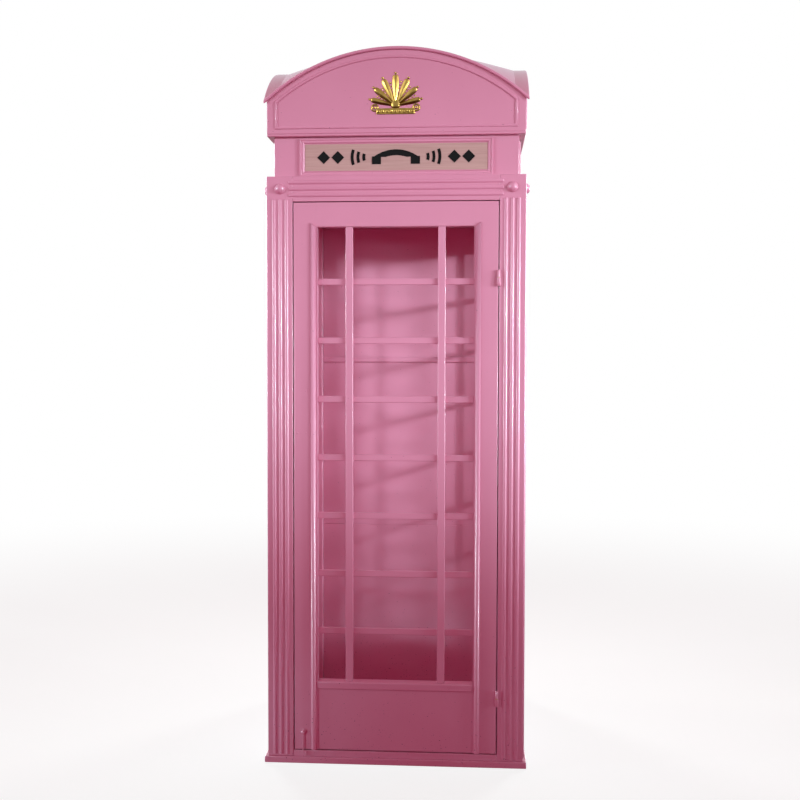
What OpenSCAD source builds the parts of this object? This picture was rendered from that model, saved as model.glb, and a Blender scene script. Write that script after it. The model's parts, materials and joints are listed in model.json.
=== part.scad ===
// Decorative telephone booth: a square sheet-steel cabin with reeded corner posts, a glazing-barred
// door on lift-off hinges, a sign head and a domed roof with four arched fronts.
// Millimetres. X points to the hinge side, the door faces -Y, Z is up, the floor is Z = 0.

/* [Cabin] */
// width across the faces of the corner posts, the same on all four sides
body_w = 800; // [600:1:1200]
// height from the floor to the top of the header
body_h = 1835; // [1500:1:2600]
// width of a square corner post
post_w = 81; // [60:1:120]
// wall of the folded sheet members
wall = 2.5; // [1.5:0.1:4]
// height of the plain block at the head of a post
block_h = 71; // [40:1:120]
// radius of a rounded reed on a post or header
reed_r = 7; // [4:0.5:10]
// how far a reed stands out of its face
reed_out = 4; // [1:0.5:6]
// distance between neighbouring reeds
reed_pitch = 19.5; // [16:0.5:30]
// radius of a ball boss
ball_r = 17; // [8:0.5:25]
// how far a ball boss stands out
ball_out = 14; // [6:0.5:22]

/* [Base] */
// height of the plinth
plinth_h = 20; // [10:1:60]
// how far the plinth stands out past the posts
plinth_out = 10; // [2:1:13]
// height of the sill and the base rails above the plinth
sill_h = 19; // [16:1:60]
// thickness of the floor plate
floor_t = 8; // [4:1:18]

/* [Door and side frames] */
// gap around the door
door_gap = 3; // [2:0.5:6]
// thickness of the door and the side frames
frame_t = 36; // [24:1:50]
// width of a door stile
stile_w = 73.5; // [50:0.5:100]
// height of the door's top rail
top_rail_h = 74.5; // [40:0.5:120]
// height of the kick panel
kick_h = 193.5; // [120:0.5:320]
// height of the bead rail above the kick panel
bead_rail_h = 24.5; // [16:0.5:40]
// radius of the rounded bead down each stile
bead_r = 8; // [4:0.5:12]
// distance from the middle to the centre of an upright bar
upright_x = 143; // [80:1:180]
// width of an upright bar
upright_w = 23; // [12:1:40]
// height of a cross bar
cross_h = 20; // [10:1:30]
// thickness of every glazing bar
bar_t = 10; // [4:1:14]
// number of cross bars
cross_count = 7; // [3:1:11]
// drop from the top of the opening to the highest cross bar
cross_drop = 169; // [60:1:220]
// rise from the bottom of the opening to the lowest cross bar
cross_rise = 157.5; // [60:0.5:220]

/* [Back wall and header] */
// thickness of the back wall
back_t = 20; // [8:1:30]
// height of the lower back joint
low_joint_z = 650; // [300:1:900]
// height of the upper back joint, which the batten covers
high_joint_z = 1270; // [1000:1:1400]
// height of the header
header_h = 78; // [60:1:140]

/* [Sign head] */
// height of the sign head
sign_h = 122; // [80:1:200]
// how far the sign head is set back from the posts
sign_inset = 22; // [10:1:40]
// thickness of a sign head board
sign_t = 20; // [10:1:30]
// width across the sign frame
sign_frame_w = 596; // [400:1:640]
// width of the sign frame's bars
sign_bar = 16; // [8:1:24]

/* [Roof] */
// height of the plain end of the arched front, soffit to roof edge
eave_h = 111; // [60:1:180]
// rise of each arch over its ends
arch_rise = 157; // [80:1:260]
// thickness of the roof shell and its edge
roof_t = 9; // [6:1:16]
// how far the roof edge stands out past the posts
roof_out = 7; // [3:1:12]
// thickness of an arched front
front_t = 32; // [20:1:50]
// thickness of the soffit plate
soffit_t = 8; // [4:1:16]
// share of the crossed arches' height that the dome gives up between them
dome_slack = 0.7; // [0.4:0.05:1]
// width of the gilt emblem
emblem_w = 190; // [100:1:240]

/* [Hinges and latch] */
// radius of a hinge knuckle
knuckle_r = 6; // [4.5:0.5:6]
// length of a whole hinge
hinge_l = 50; // [36:1:90]
// rise of the lower hinge's middle over the door's foot
low_hinge_rise = 175; // [60:1:400]
// drop of the upper hinge's middle from the door's top
high_hinge_drop = 234; // [60:1:400]
// radius of a hinge pin
pin_r = 3; // [2:0.25:3.5]
// radial clearance of the hinge pins and the latch pivot
fit = 0.05; // [0.02:0.01:0.1]
// length of the latch hook, pivot to tip
hook_l = 67; // [50:1:90]

/* [Hidden] */
$fn = 48;

body_hw = body_w / 2;
inner_hw = body_hw - post_w;
plinth_hw = body_hw + plinth_out;
sill_z = plinth_h + sill_h;
header_z = body_h - header_h;
header_mid_z = header_z + header_h / 2;
block_z = body_h - block_h;
reed_foot = 4;
reed_z = plinth_h + reed_foot;
reed_shift = 1.5;
reed_x = body_hw - post_w / 2 - reed_shift;
bead_run = 13;

door_hw = inner_hw - door_gap;
door_z = sill_z + door_gap;
door_top = header_z - door_gap;
open_hw = door_hw - stile_w;
open_top = door_top - top_rail_h;
kick_top = door_z + kick_h;
open_z = kick_top + bead_rail_h;
frame_front = -body_hw;
frame_back = frame_front + frame_t;
panel_t = 4;
panel_sink = 4;
bottom_rail_h = 40;
bead_rail_out = 4;
bead_ledge = 4.5;
bead_x = open_hw + bead_ledge + bead_r;
bead_over = 10;
bead_top = open_top + bead_over;
upright_sink = 4;
upright_front = frame_front + upright_sink;
upright_back = upright_front + bar_t;
cross_pitch = (open_top - open_z - cross_drop - cross_rise) / (cross_count - 1);
stop_w = 10;
stop_gap = 0.2;
stop_y = frame_back + stop_gap;

back_sink = 20;
back_y = body_hw - back_sink - back_t;
batten_h = 19;
batten_t = 10;
ceiling_t = 8;

sign_hw = body_hw - sign_inset;
soffit_z = body_h + sign_h;
front_z = soffit_z + soffit_t;
front_sink = 2;
front_hw = body_hw - front_sink;
eave_z = soffit_z + eave_h;
roof_hw = body_hw + roof_out;
rim_hw = front_hw - front_t;
arch_r = (roof_hw * roof_hw + arch_rise * arch_rise) / (2 * arch_rise);
arch_z = eave_z + arch_rise - arch_r;
tall = body_h + body_w;

frame_out = 8;
frame_foot = 2;
frame_head = 6;
plate_t = 2;
mark_t = 1;
trim_w = 8;
trim_out = 4;
trim_side = 25;
trim_foot = 22;
trim_arch = 17;
emblem_t = 6;
emblem_rise = 63;

hinge_x = inner_hw - door_gap / 2;
hinge_y = frame_front - knuckle_r;
hinge_half = hinge_l / 2;
low_hinge_z = door_z + low_hinge_rise;
high_hinge_z = door_top - high_hinge_drop;
washer_t = 1;
hinge_slack = 0.1;
pin_reach = 18;
leaf_w = 12;
leaf_h = 18;
leaf_t = 2;

latch_inset = 28;
latch_x = latch_inset - door_hw;
eye_rise = 11;
latch_z = plinth_h + eye_rise + hook_l;
stud_r = 2;
stud_out = 10;
stud_head = 2.5;
hook_t = 3.5;
hook_out = 6.25;
hook_y = frame_front - hook_out;
hook_slack = 0.1;
hook_lean = -0.6;
hook_tip = 7;
eye_r = 5;
eye_wire = 1.25;
eye_clear = 1.5;

// ---- shared shapes ----

// block between two corners
module block(low, high) {
    translate(low)
        cube(high - low);
}

// square tube along one axis (0 = X, 1 = Y, 2 = Z), open at both ends
module tube(low, high, along) {
    skin = [for (i = [0:2]) i == along ? -1 : wall];
    difference() {
        block(low, high);
        block(low + skin, high - skin);
    }
}

module on_sides(angles) {
    for (a = angles)
        rotate([0, 0, a])
            children();
}

module mirrored_x() {
    children();
    mirror([1, 0, 0])
        children();
}

// upright half-round moulding on a front face, with its flat back on the face
module upright_round(x, face, r, out, low, high) {
    intersection() {
        translate([x, face + r - out, low])
            cylinder(r = r, h = high - low);
        block([x - r, face - out - 1, low], [x + r, face + 0.01, high]);
    }
}

// level half-round moulding on a front face
module level_round(z, face, r, out, low, high) {
    intersection() {
        translate([low, face + r - out, z])
            rotate([0, 90, 0])
                cylinder(r = r, h = high - low);
        block([low, face - out - 1, z - r], [high, face + 0.01, z + r]);
    }
}

// small domed screw head on a front face
module screw_head(x, z, face, r) {
    translate([x, face, z])
        rotate([90, 0, 0])
            cylinder(r1 = r, r2 = r * 0.6, h = 1.2);
}

function cross_z(i) = open_z + cross_rise + i * cross_pitch;

// ---- base ----

module plinth() {
    color([0.62, 0.33, 0.42])
        difference() {
            block([-plinth_hw, -plinth_hw, 0], [plinth_hw, plinth_hw, plinth_h]);
            block(
                [wall - plinth_hw, wall - plinth_hw, -1],
                [plinth_hw - wall, plinth_hw - wall, plinth_h - wall]
            );
        }
}

module floor_plate() {
    color([0.55, 0.15, 0.28])
        block([-inner_hw, -inner_hw, plinth_h], [inner_hw, inner_hw, plinth_h + floor_t]);
}

module sill_shape() {
    tube([-inner_hw, -body_hw, plinth_h], [inner_hw, -inner_hw, sill_z], 0);
}

module door_sill() {
    color([0.62, 0.33, 0.42])
        sill_shape();
}

module base_rails() {
    color([0.72, 0.42, 0.52])
        on_sides([90, 180, 270])
            sill_shape();
}

// ---- frame ----

module post_face() {
    for (i = [-1:1])
        upright_round(-reed_x + i * reed_pitch, -body_hw, reed_r, reed_out, reed_z, block_z);
    for (i = [-1:1])
        level_round(header_mid_z + i * reed_pitch, -body_hw, reed_r, reed_out,
            -inner_hw - bead_run, -inner_hw);
}

module corner_post() {
    tube([-body_hw, -body_hw, plinth_h], [-inner_hw, -inner_hw, body_h], 2);
    post_face();
    rotate([0, 0, -90])
        mirror([1, 0, 0])
            post_face();
}

module corner_posts() {
    color([0.85, 0.56, 0.68])
        on_sides([0, 90, 180, 270])
            corner_post();
}

module ball_boss() {
    intersection() {
        translate([reed_x, ball_r - body_hw - ball_out, header_mid_z])
            sphere(r = ball_r);
        block(
            [reed_x - ball_r, -body_hw - ball_out, header_mid_z - ball_r],
            [reed_x + ball_r, -body_hw, header_mid_z + ball_r]
        );
    }
}

module ball_bosses() {
    color([0.87, 0.58, 0.7])
        on_sides([0, 90, 180, 270])
            mirrored_x()
                ball_boss();
}

module header_rails() {
    color([0.83, 0.55, 0.66])
        on_sides([0, 90, 180, 270]) {
            tube([-inner_hw, -body_hw, header_z], [inner_hw, -inner_hw, body_h], 0);
            for (i = [-1:1])
                level_round(header_mid_z + i * reed_pitch, -body_hw, reed_r, reed_out,
                    -inner_hw, inner_hw);
        }
}

module ceiling_panel() {
    color([0.6, 0.25, 0.38])
        block([-inner_hw, -inner_hw, body_h - ceiling_t], [inner_hw, inner_hw, body_h]);
}

// ---- fixed side frames ----

module stile_shape(low_x, high_x, low_z, high_z) {
    tube([low_x, frame_front, low_z], [high_x, frame_back, high_z], 2);
    upright_round(bead_x, frame_front, bead_r, bead_r, low_z, bead_top);
}

module side_stiles() {
    color([0.83, 0.54, 0.65])
        on_sides([90, 270])
            mirrored_x()
                stile_shape(open_hw, inner_hw, sill_z, header_z);
}

module side_top_rails() {
    color([0.83, 0.54, 0.65])
        on_sides([90, 270])
            tube([-open_hw, frame_front, open_top], [open_hw, frame_back, header_z], 0);
}

module bead_rail_shape() {
    tube([-open_hw, frame_front - bead_rail_out, kick_top], [open_hw, frame_back, open_z], 0);
}

module kick_shape(low_z) {
    front = frame_front + panel_sink;
    block([-open_hw, front, low_z], [open_hw, front + panel_t, kick_top]);
}

module bottom_rail_shape(low_z) {
    front = frame_front + panel_sink + panel_t;
    tube([-open_hw, front, low_z], [open_hw, frame_back, low_z + bottom_rail_h], 0);
}

module side_bead_rails() {
    color([0.8, 0.5, 0.62])
        on_sides([90, 270])
            bead_rail_shape();
}

module side_kick_panels() {
    color([0.68, 0.38, 0.48])
        on_sides([90, 270])
            kick_shape(sill_z);
}

module side_bottom_rails() {
    color([0.68, 0.38, 0.48])
        on_sides([90, 270])
            bottom_rail_shape(sill_z);
}

module uprights_shape() {
    mirrored_x()
        block(
            [upright_x - upright_w / 2, upright_front, open_z],
            [upright_x + upright_w / 2, upright_back, open_top]
        );
}

module cross_bars_shape() {
    for (i = [0:cross_count - 1])
        block(
            [-open_hw, upright_back, cross_z(i) - cross_h / 2],
            [open_hw, upright_back + bar_t, cross_z(i) + cross_h / 2]
        );
}

module side_uprights() {
    color([0.84, 0.55, 0.67])
        on_sides([90, 270])
            uprights_shape();
}

module side_cross_bars() {
    color([0.84, 0.55, 0.67])
        on_sides([90, 270])
            cross_bars_shape();
}

// ---- back wall and ceiling ----

module back_sheet(low_z, high_z) {
    color([0.82, 0.51, 0.65])
        block([-inner_hw, back_y, low_z], [inner_hw, back_y + back_t, high_z]);
}

module back_lower_panel() {
    back_sheet(sill_z, low_joint_z);
}

module back_middle_panel() {
    back_sheet(low_joint_z, high_joint_z);
}

module back_upper_panel() {
    back_sheet(high_joint_z, header_z);
}

module back_batten() {
    color([0.8, 0.48, 0.6])
        block(
            [-inner_hw, back_y - batten_t, high_joint_z - batten_h / 2],
            [inner_hw, back_y, high_joint_z + batten_h / 2]
        );
}

// strips that the closed door rests against
module door_side_stops() {
    color([0.6, 0.3, 0.42])
        mirrored_x()
            block([inner_hw - stop_w, stop_y, sill_z], [inner_hw, stop_y + stop_w, header_z]);
}

module door_top_stop() {
    side = inner_hw - stop_w;
    color([0.6, 0.3, 0.42])
        block([-side, stop_y, header_z - stop_w], [side, stop_y + stop_w, header_z]);
}

// ---- sign head ----

module sign_boards() {
    color([0.83, 0.55, 0.66])
        on_sides([0, 180])
            block([-sign_hw, -sign_hw, body_h], [sign_hw, sign_t - sign_hw, soffit_z]);
}

module sign_side_boards() {
    between = sign_hw - sign_t;
    color([0.83, 0.55, 0.66])
        on_sides([90, 270])
            block([-between, -sign_hw, body_h], [between, -between, soffit_z]);
}

module sign_outline(edge) {
    half_w = sign_frame_w / 2 - edge;
    low = body_h + frame_foot + edge;
    translate([-half_w, low])
        square([half_w * 2, soffit_z - frame_head - edge - low]);
}

// turns a drawing of width and height into a plate that stands out of a face
module stood_on(face, thick) {
    translate([0, face, 0])
        rotate([90, 0, 0])
            linear_extrude(thick)
                children();
}

module sign_frames() {
    color([0.87, 0.58, 0.7])
        on_sides([0, 90, 270])
            stood_on(-sign_hw, frame_out)
                difference() {
                    sign_outline(0);
                    sign_outline(sign_bar);
                }
}

module sign_plates() {
    color([0.78, 0.66, 0.6])
        on_sides([0, 90, 270])
            stood_on(-sign_hw, plate_t)
                sign_outline(sign_bar);
}

// handset seen from the side, between rows of sound arcs and a lozenge at each end
module handset_drawing() {
    difference() {
        translate([0, -95])
            circle(r = 118);
        translate([0, -101])
            circle(r = 106);
        translate([-150, -260])
            square([300, 260]);
    }
    mirrored_x()
        translate([46, -22])
            square([28, 24]);
}

module sound_arc(r) {
    intersection() {
        difference() {
            circle(r = r);
            circle(r = r - 9);
        }
        polygon([[0, 0], [r * 2, -r * 0.75], [r * 2, r * 0.75]]);
    }
}

module sign_drawing() {
    handset_drawing();
    mirrored_x() {
        translate([70, 0])
            for (i = [1:3])
                sound_arc(16 + i * 18);
        translate([180, 0])
            rotate(45)
                square(28, center = true);
        translate([224, 0])
            rotate(45)
                square(28, center = true);
    }
}

module sign_marks() {
    color([0.05, 0.05, 0.05])
        on_sides([0, 90, 270])
            translate([0, 0, (body_h + frame_foot + soffit_z - frame_head) / 2])
                stood_on(-sign_hw - plate_t, mark_t)
                    sign_drawing();
}

// ---- roof ----

module roof_soffit() {
    color([0.78, 0.5, 0.6])
        block([-front_hw, -front_hw, soffit_z], [front_hw, front_hw, front_z]);
}

// outline of an arched front, shrunk by an edge at the sides, the foot and the arch
module arched_outline(half_w, side, foot, top) {
    intersection() {
        translate([side - half_w, front_z + foot])
            square([(half_w - side) * 2, tall]);
        translate([0, arch_z])
            circle(r = arch_r - roof_t - top, $fn = 360);
    }
}

module arched_fronts() {
    color([0.79, 0.52, 0.61])
        on_sides([0, 180])
            translate([0, front_t, 0])
                stood_on(-front_hw, front_t)
                    arched_outline(front_hw, 0, 0, 0);
}

module arched_sides() {
    color([0.79, 0.52, 0.61])
        on_sides([90, 270])
            translate([0, front_t, 0])
                stood_on(-front_hw, front_t)
                    arched_outline(rim_hw, 0, 0, 0);
}

module front_trims() {
    foot = trim_foot - soffit_t;
    color([0.8, 0.53, 0.62])
        on_sides([0, 90, 180, 270])
            stood_on(-front_hw, trim_out)
                difference() {
                    arched_outline(front_hw, trim_side, foot, trim_arch);
                    arched_outline(front_hw, trim_side + trim_w, foot + trim_w, trim_arch + trim_w);
                }
}

module roof_edge() {
    intersection() {
        translate([0, roof_hw - rim_hw, 0])
            stood_on(-roof_hw, roof_hw - rim_hw)
                intersection() {
                    difference() {
                        translate([0, arch_z])
                            circle(r = arch_r, $fn = 360);
                        translate([0, arch_z])
                            circle(r = arch_r - roof_t, $fn = 360);
                    }
                    translate([-roof_hw, arch_z])
                        square([roof_hw * 2, arch_r]);
                }
        linear_extrude(tall * 2)
            polygon([
                [-roof_hw, -roof_hw], [roof_hw, -roof_hw], [rim_hw, -rim_hw], [-rim_hw, -rim_hw]
            ]);
    }
}

module roof_edges() {
    color([0.85, 0.56, 0.64])
        on_sides([0, 180])
            roof_edge();
}

module roof_side_edges() {
    color([0.85, 0.56, 0.64])
        on_sides([90, 270])
            roof_edge();
}

// height of an arch over the level of its ends at the rim, across the dome
function arch_level(x) = sqrt(arch_r * arch_r - x * x) - sqrt(arch_r * arch_r - rim_hw * rim_hw);
function dome_height(x, y) =
    arch_z + sqrt(arch_r * arch_r - rim_hw * rim_hw) + arch_level(x) + arch_level(y)
    - dome_slack * arch_level(x) * arch_level(y) / arch_level(0);

module roof_dome() {
    cells = 20;
    row = cells + 1;
    count = row * row;
    step = 2 * rim_hw / cells;
    grid = [for (j = [0:cells]) for (i = [0:cells]) [i * step - rim_hw, j * step - rim_hw]];
    points = [
        for (p = grid) [p.x, p.y, dome_height(p.x, p.y)],
        for (p = grid) [p.x, p.y, dome_height(p.x, p.y) - roof_t]
    ];
    steps = [for (i = [0:cells - 1]) i];
    rim = concat(
        [for (i = steps) i],
        [for (i = steps) cells + i * row],
        [for (i = steps) count - 1 - i],
        [for (i = steps) (cells - i) * row]
    );
    last = len(rim) - 1;
    faces = [
        for (j = steps) for (i = steps) let (a = j * row + i) each [
            [a, a + row, a + row + 1],
            [a, a + row + 1, a + 1],
            [count + a, count + a + row + 1, count + a + row],
            [count + a, count + a + 1, count + a + row + 1]
        ],
        for (i = [0:last]) let (a = rim[i], b = rim[i == last ? 0 : i + 1]) each [
            [a, b, count + b],
            [a, count + b, count + a]
        ]
    ];
    color([0.88, 0.62, 0.66])
        polyhedron(points = points, faces = faces, convexity = 4);
}

// fan of tapered, round-ended lobes on a beaded band
module emblem_drawing() {
    band_hw = emblem_w * 0.31;
    band_h = emblem_w * 0.096;
    hub = emblem_w * 0.132;
    translate([-band_hw, 0])
        square([band_hw * 2, band_h]);
    for (i = [-2:2])
        translate([i * band_hw * 0.42, band_h])
            circle(r = band_h / 2);
    for (i = [-3:3])
        let (reach = emblem_w * (0.55 - abs(i) * 0.03), tip_r = emblem_w * (0.06 - abs(i) * 0.003))
            translate([0, hub])
                rotate(-i * 25) {
                    polygon([[-4, -8], [4, -8], [tip_r, reach - tip_r], [-tip_r, reach - tip_r]]);
                    translate([0, reach - tip_r])
                        circle(r = tip_r);
                }
}

module gilt_emblems() {
    color([0.72, 0.55, 0.2])
        on_sides([0, 90, 270])
            translate([0, 0, soffit_z + emblem_rise])
                stood_on(-front_hw, emblem_t)
                    emblem_drawing();
}

// ---- door ----

module door_hinge_stile() {
    color([0.83, 0.54, 0.65])
        stile_shape(open_hw, door_hw, door_z, door_top);
}

module door_latch_stile() {
    color([0.83, 0.54, 0.65])
        mirror([1, 0, 0])
            stile_shape(open_hw, door_hw, door_z, door_top);
}

module door_top_rail() {
    color([0.83, 0.54, 0.65])
        tube([-open_hw, frame_front, open_top], [open_hw, frame_back, door_top], 0);
}

module door_kick_panel() {
    color([0.62, 0.34, 0.42])
        kick_shape(door_z);
}

module door_bottom_rail() {
    color([0.62, 0.34, 0.42])
        bottom_rail_shape(door_z);
}

module door_bead_rail() {
    color([0.8, 0.5, 0.62])
        bead_rail_shape();
}

module door_uprights() {
    color([0.84, 0.55, 0.67])
        uprights_shape();
}

module door_cross_bars() {
    color([0.84, 0.55, 0.67])
        cross_bars_shape();
}

module stile_screws() {
    color([0.6, 0.35, 0.45])
        for (p = [[38, 582], [39, 713], [12, 713]])
            screw_head(p.x - door_hw, door_top - p.y, frame_front, 3);
}

module plinth_screws() {
    color([0.5, 0.25, 0.33])
        for (x = [-200, -40, 200])
            screw_head(x, plinth_h - 5, -plinth_hw, 2.5);
}

// ---- hinges ----

module at_hinges() {
    for (z = [low_hinge_z, high_hinge_z])
        translate([hinge_x, hinge_y, z])
            children();
}

// knuckle from the mid height upwards, with a leaf to one side and a blind bore from below
module knuckle(side, gap, bore) {
    difference() {
        union() {
            translate([0, 0, gap])
                cylinder(r = knuckle_r, h = hinge_half - gap);
            block(
                [side < 0 ? -leaf_w : 0, knuckle_r - leaf_t, hinge_half - leaf_h],
                [side < 0 ? 0 : leaf_w, knuckle_r, hinge_half]
            );
        }
        translate([0, 0, gap - 1])
            cylinder(r = bore, h = pin_reach + 2 - gap);
    }
}

module hinge_lower_knuckles() {
    color([0.8, 0.5, 0.62])
        at_hinges()
            mirror([0, 0, 1])
                knuckle(1, 0, pin_r + fit);
}

module hinge_pins() {
    color([0.7, 0.7, 0.7])
        at_hinges()
            translate([0, 0, -pin_reach - 1])
                cylinder(r = pin_r, h = pin_reach * 2);
}

module hinge_washers() {
    color([0.75, 0.6, 0.3])
        at_hinges()
            difference() {
                cylinder(r = knuckle_r - 0.5, h = washer_t);
                translate([0, 0, -1])
                    cylinder(r = pin_r + fit, h = washer_t + 2);
            }
}

module hinge_upper_knuckles() {
    color([0.83, 0.53, 0.65])
        at_hinges()
            knuckle(-1, washer_t + hinge_slack, pin_r + fit);
}

// ---- hook latch ----

// base rose, shoulder, stud and head of the hook's pivot
module latch_pivot() {
    color([0.7, 0.42, 0.52])
        translate([latch_x, frame_front, latch_z])
            rotate([90, 0, 0]) {
                cylinder(r = 10, h = 2);
                cylinder(r = 4, h = hook_out - hook_t / 2 - hook_slack);
                cylinder(r = stud_r, h = stud_out);
                translate([0, 0, hook_out + hook_t / 2 + hook_slack])
                    cylinder(r = 4, h = stud_head);
            }
}

module latch_hook() {
    rod_r = hook_t / 2 - 0.15;
    tip_r = rod_r - 0.2;
    color([0.72, 0.44, 0.54])
        translate([latch_x, hook_y, latch_z])
            difference() {
                union() {
                    rotate([90, 0, 0])
                        cylinder(r = 6, h = hook_t, center = true);
                    translate([hook_lean, 0, -hook_l - rod_r])
                        cylinder(r = rod_r, h = hook_l - 2);
                    translate([hook_lean, 0, -hook_l])
                        rotate([0, 90, 0])
                            cylinder(r = tip_r, h = hook_tip);
                }
                rotate([90, 0, 0])
                    cylinder(r = stud_r + fit, h = hook_t + 2, center = true);
            }
}

module latch_sill_eye() {
    reach = hook_tip + eye_clear + eye_wire;
    color([0.7, 0.42, 0.52])
        translate([latch_x + hook_lean + reach, hook_y, latch_z - hook_l]) {
            rotate([0, 90, 0])
                rotate_extrude()
                    translate([eye_r, 0])
                        circle(r = eye_wire);
            translate([0, eye_r, 0])
                rotate([-90, 0, 0])
                    cylinder(r = 3.5, h = hook_out - eye_r);
        }
}

plinth();
floor_plate();
door_sill();
base_rails();
corner_posts();
ball_bosses();
header_rails();
ceiling_panel();
side_stiles();
side_top_rails();
side_bead_rails();
side_kick_panels();
side_bottom_rails();
side_uprights();
side_cross_bars();
back_lower_panel();
back_middle_panel();
back_upper_panel();
back_batten();
door_side_stops();
door_top_stop();
sign_boards();
sign_side_boards();
sign_frames();
sign_plates();
sign_marks();
roof_soffit();
arched_fronts();
arched_sides();
front_trims();
roof_edges();
roof_side_edges();
roof_dome();
gilt_emblems();
door_hinge_stile();
door_latch_stile();
door_top_rail();
door_kick_panel();
door_bottom_rail();
door_bead_rail();
door_uprights();
door_cross_bars();
stile_screws();
plinth_screws();
hinge_lower_knuckles();
hinge_pins();
hinge_washers();
hinge_upper_knuckles();
latch_pivot();
latch_hook();
latch_sill_eye();
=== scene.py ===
import json
import math
import bmesh
import bpy
from mathutils import Matrix, Vector


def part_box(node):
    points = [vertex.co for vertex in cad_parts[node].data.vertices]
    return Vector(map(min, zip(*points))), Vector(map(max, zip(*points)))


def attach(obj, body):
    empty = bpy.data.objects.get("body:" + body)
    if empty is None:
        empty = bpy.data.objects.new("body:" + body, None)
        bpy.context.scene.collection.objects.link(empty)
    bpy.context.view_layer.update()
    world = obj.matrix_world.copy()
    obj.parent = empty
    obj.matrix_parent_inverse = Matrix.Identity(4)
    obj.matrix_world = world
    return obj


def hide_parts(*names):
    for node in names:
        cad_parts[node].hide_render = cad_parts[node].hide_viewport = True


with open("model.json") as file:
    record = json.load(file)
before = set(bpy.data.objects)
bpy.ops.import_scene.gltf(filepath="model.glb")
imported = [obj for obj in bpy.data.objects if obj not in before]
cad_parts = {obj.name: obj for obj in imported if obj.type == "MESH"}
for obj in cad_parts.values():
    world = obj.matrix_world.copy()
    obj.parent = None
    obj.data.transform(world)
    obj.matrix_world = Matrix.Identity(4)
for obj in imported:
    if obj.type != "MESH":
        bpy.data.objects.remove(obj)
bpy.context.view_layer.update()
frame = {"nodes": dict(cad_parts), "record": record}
scene = bpy.context.scene


def linear(*rgb):  # screen colour, 0 to 255, as the linear colour a shader takes
    shares = [c / 255 for c in rgb]
    return [s / 12.92 if s <= 0.04045 else ((s + 0.055) / 1.055) ** 2.4 for s in shares] + [1]


class Wire:  # one socket of a material, so that shader maths reads as arithmetic
    def __init__(self, tree, socket=None):
        self.tree = tree
        self.socket = socket

    def node(self, kind, settings, inputs, output=0):
        made = self.tree.nodes.new(kind)
        for name, value in settings.items():
            setattr(made, name, value)
        for name, value in inputs.items():
            if isinstance(value, Wire):
                self.tree.links.new(value.socket, made.inputs[name])
            else:
                made.inputs[name].default_value = value
        return Wire(self.tree, made.outputs[output])

    def noise(self, scale, detail, roughness=0.5):  # a pattern on the place that this wire carries
        return self.node("ShaderNodeTexNoise", {}, {
            "Vector": self, "Scale": scale, "Detail": detail, "Roughness": roughness})

    def share(self, start, end, most=1.0, shape="LINEAR"):  # 0 where this wire is at start, most at end
        return self.node("ShaderNodeMapRange", {"interpolation_type": shape}, {
            "Value": self, "From Min": start, "From Max": end, "To Max": most})

    def blend(self, first, second):  # the first colour where this wire is 0, the second where it is 1
        return self.node("ShaderNodeMix", {"data_type": "RGBA"}, {0: self, 6: first, 7: second}, 2)

    def maths(self, operation, first, second):
        return self.node("ShaderNodeMath", {"operation": operation}, {0: first, 1: second})

    def __add__(self, other):
        return self.maths("ADD", self, other)

    def __radd__(self, other):
        return self.maths("ADD", other, self)

    def __sub__(self, other):
        return self.maths("SUBTRACT", self, other)

    def __rsub__(self, other):
        return self.maths("SUBTRACT", other, self)

    def __mul__(self, other):
        return self.maths("MULTIPLY", self, other)

    def __rmul__(self, other):
        return self.maths("MULTIPLY", other, self)


def newMaterial(name, fixed):  # a principled material, its shader and a wire to build with
    material = bpy.data.materials.new(name)
    material.use_nodes = True
    shader = material.node_tree.nodes["Principled BSDF"]
    for socket, value in fixed.items():
        shader.inputs[socket].default_value = value
    return material, shader, Wire(material.node_tree)


def placeOn(wire):  # where a point lies on the object
    return wire.node("ShaderNodeTexCoord", {}, {}, "Object")


def feed(shader, socket, wire):  # a varying value for one of the shader's sockets
    wire.tree.links.new(wire.socket, shader.inputs[socket])


pinkPaint = {
    "colour": linear(222, 147, 173),
    "shade": linear(214, 138, 164),
    "roughness": 0.32,
    "roughnessSpread": 0.08,
    "lacquer": 0.4,          # clear coat that sharpens the highlights
    "lacquerRoughness": 0.12,
    "patchScale": 5.0,       # soft patches where the spray lies thicker
    "peelScale": 420.0,      # orange peel of the sprayed coat
    "peelHeight": 0.03,
    "dust": linear(228, 176, 194),
    "dustScale": 16.0,
    "dustFrom": 0.25,        # noise at which the dust starts
    "dustTo": 0.8,           # and at which it lies thickest
    "dustShare": 0.13,
    "dustDulls": 0.5,        # what a full cover of dust would add to the roughness
    "chip": linear(132, 78, 92),
    "chipScale": 210.0,
    "chipRarity": 0.71,      # how high the noise must stand at the foot before the paint is chipped
    "chipRarer": 0.08,       # and how much higher where wear ends
    "chipEdge": 0.02,
    "wornBelow": 0.42,       # dust and chips thin out up to this height
}


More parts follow.
